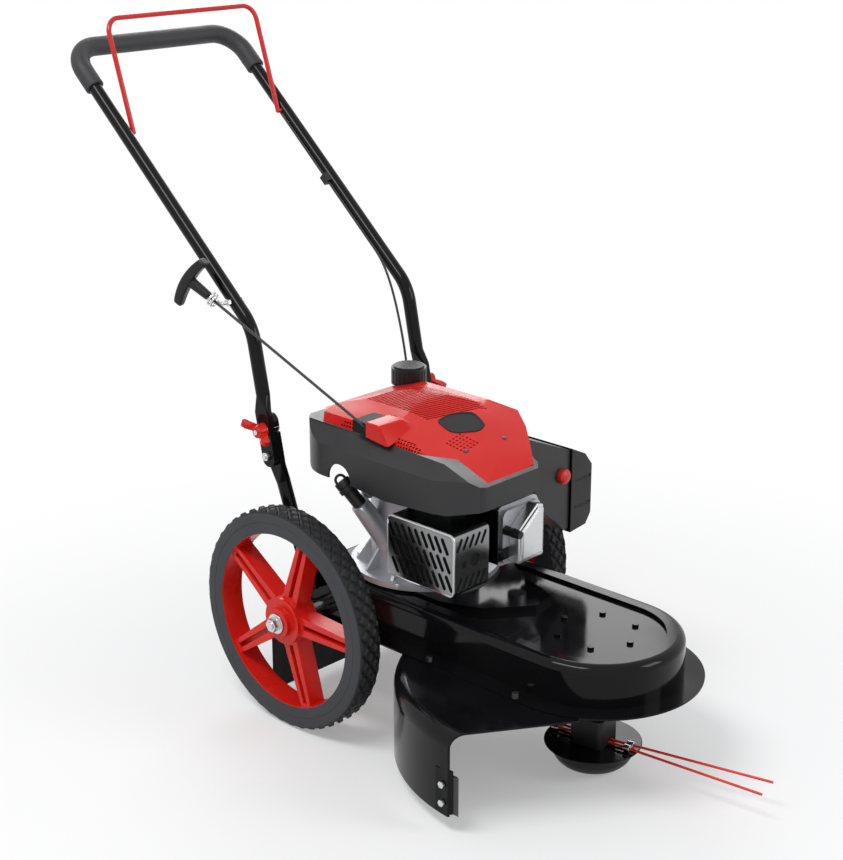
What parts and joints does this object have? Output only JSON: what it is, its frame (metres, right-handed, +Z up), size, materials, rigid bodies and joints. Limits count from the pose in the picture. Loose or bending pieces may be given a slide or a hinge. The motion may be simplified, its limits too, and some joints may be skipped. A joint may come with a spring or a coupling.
{
  "type": "wheeled string trimmer",
  "caption": "Walk-behind petrol string trimmer: black steel deck, red-covered engine, large red spoked wheels, side guard, belt-driven line head and a folding handle with a red bail.",
  "frame": {"origin": "on the ground under the cutting head's spindle, at the middle of the glide bowl's flat foot", "axes": "+X forward, away from the operator; +Y to the operator's left; +Z up"},
  "size_m": [1.2679, 0.5658, 1.0466],
  "materials": {
    "black_paint": "gloss",
    "bright_steel": "satin",
    "cutter_steel": "satin",
    "flap_rubber": "matte",
    "red_plastic": "gloss",
    "red_paint": "gloss",
    "tyre": "matte",
    "iron": "matte",
    "black_plastic": "satin",
    "charcoal_plastic": "satin",
    "cast_aluminium": "cast",
    "bright_aluminium": "satin",
    "muffler_steel": "satin",
    "primer_rubber": "satin",
    "foam": "matte",
    "rope": "matte",
    "paper": "matte"
  },
  "bodies": {
    "chassis": {"axle": "bright_steel", "axle_brackets": "black_paint", "axle_fittings": "bright_steel", "brake_cable": "black_plastic", "carburettor": "cast_aluminium", "crankcase": "cast_aluminium", "cylinder_head": "cast_aluminium", "deck": "black_paint", "deck_bolts": "bright_steel", "engine_shroud": "charcoal_plastic", "filter_base": "charcoal_plastic", "filter_element": "paper", "flap_bar": "black_paint", "frame_bolts": "bright_steel", "fuel_tank": "black_plastic", "head_baffle": "black_paint", "line_cutter": "cutter_steel", "lower_tube_left": "black_paint", "lower_tube_right": "black_paint", "muffler": "muffler_steel", "muffler_guard": "muffler_steel", "oil_filler": "black_plastic", "rear_flap": "flap_rubber", "recoil_housing": "black_plastic", "side_guard": "black_paint", "spark_plug": "black_plastic", "spindle_bearings": "bright_steel", "spindle_housing": "iron", "starter_rope": "rope", "top_cover": "red_plastic", "v_belt": "flap_rubber", "valve_cover": "bright_aluminium"},
    "wheel_left": {"rim_left": "red_plastic", "tyre_left": "tyre"},
    "wheel_right": {"rim_right": "red_plastic", "tyre_right": "tyre"},
    "head": {"spindle": "bright_steel", "spindle_pulley": "iron", "head_disc": "black_paint", "head_hub": "black_plastic", "glide_bowl": "black_plastic", "line_eyelets": "bright_steel", "trimmer_lines": "red_plastic"},
    "crank": {"crankshaft": "bright_steel", "flywheel": "cast_aluminium", "engine_pulley": "iron"},
    "filter_lid": {"filter_cover": "black_plastic"},
    "primer": {"primer_bulb": "primer_rubber"},
    "fuel_lid": {"fuel_cap": "black_plastic"},
    "starter_reel": {"starter_pulley": "black_plastic"},
    "oil_stick": {"dipstick": "black_plastic"},
    "handle": {"upper_handle": "black_paint", "foam_grip": "foam", "clamp_bolts": "bright_steel", "rope_guide": "bright_steel", "cable_bracket": "black_plastic"},
    "bail_lever": {"bail": "red_paint"},
    "knob_left": {"wing_knob_left": "red_plastic"},
    "knob_right": {"wing_knob_right": "red_plastic"},
    "pull_handle": {"starter_grip": "black_plastic"}
  },
  "joints": [
    {"name": "wheel_left_spin", "type": "hinge", "parent": "chassis", "child": "wheel_left", "pos_m": [-0.423, 0.218, 0.1775], "axis": [0, 1, 0], "continuous": true},
    {"name": "wheel_right_spin", "type": "hinge", "parent": "chassis", "child": "wheel_right", "pos_m": [-0.423, -0.218, 0.1775], "axis": [0, 1, 0], "continuous": true},
    {"name": "crank_spin", "type": "hinge", "parent": "chassis", "child": "crank", "pos_m": [-0.345, 0, 0.226], "axis": [0, 0, 1], "continuous": true},
    {"name": "head_spin", "type": "hinge", "parent": "chassis", "child": "head", "pos_m": [0, 0, 0.152], "axis": [0, 0, 1], "continuous": true},
    {"name": "handle_fold", "type": "hinge", "parent": "chassis", "child": "handle", "pos_m": [-0.5085, 0, 0.411], "axis": [0, 1, 0], "range_deg": [0, 100], "deforming": ["starter_rope", "brake_cable"]},
    {"name": "bail_press", "type": "hinge", "parent": "handle", "child": "bail_lever", "pos_m": [-0.83948, 0, 0.86954], "axis": [0, 1, 0], "range_deg": [-22, 0], "stiffness_Nm_per_rad": 2, "springref_deg": 17.19},
    {"name": "knob_left_turn", "type": "hinge", "parent": "handle", "child": "knob_left", "pos_m": [-0.51674, 0.19, 0.45116], "axis": [0, 1, 0], "continuous": true},
    {"name": "knob_right_turn", "type": "hinge", "parent": "handle", "child": "knob_right", "pos_m": [-0.51674, -0.19, 0.45116], "axis": [0, 1, 0], "continuous": true},
    {"name": "starter_pull", "type": "slide", "parent": "handle", "child": "pull_handle", "axis": [-0.7724, -0.2958, 0.562], "range_m": [0, 0.6], "stiffness_N_per_m": 10, "springref_m": -0.5, "deforming": ["starter_rope"]},
    {"name": "starter_turn", "type": "hinge", "parent": "chassis", "child": "starter_reel", "pos_m": [-0.345, 0, 0.475], "axis": [0, 0, -1], "range_deg": [0, 730]},
    {"name": "fuel_cap_turn", "type": "hinge", "parent": "chassis", "child": "fuel_lid", "pos_m": [-0.45, 0.072, 0.5], "axis": [0, 0, 1], "range_deg": [0, 120]},
    {"name": "primer_push", "type": "slide", "parent": "chassis", "child": "primer", "axis": [-1, 0, 0], "range_m": [0, 0.005], "stiffness_N_per_m": 400, "springref_m": -0.003},
    {"name": "filter_lid_open", "type": "hinge", "parent": "chassis", "child": "filter_lid", "pos_m": [-0.22, 0.1504, 0.279], "axis": [-1, 0, 0], "range_deg": [0, 40]},
    {"name": "dipstick_turn", "type": "hinge", "parent": "chassis", "child": "oil_stick", "pos_m": [-0.403, -0.117, 0.37], "axis": [-0.6006, -0.2753, 0.7507], "range_deg": [0, 180]}
  ],
  "couplings": [
    {"joint": "head_spin", "follows": "crank_spin", "ratio": 0.64706},
    {"joint": "starter_turn", "follows": "starter_pull", "rad_per_m": 21.2}
  ]
}
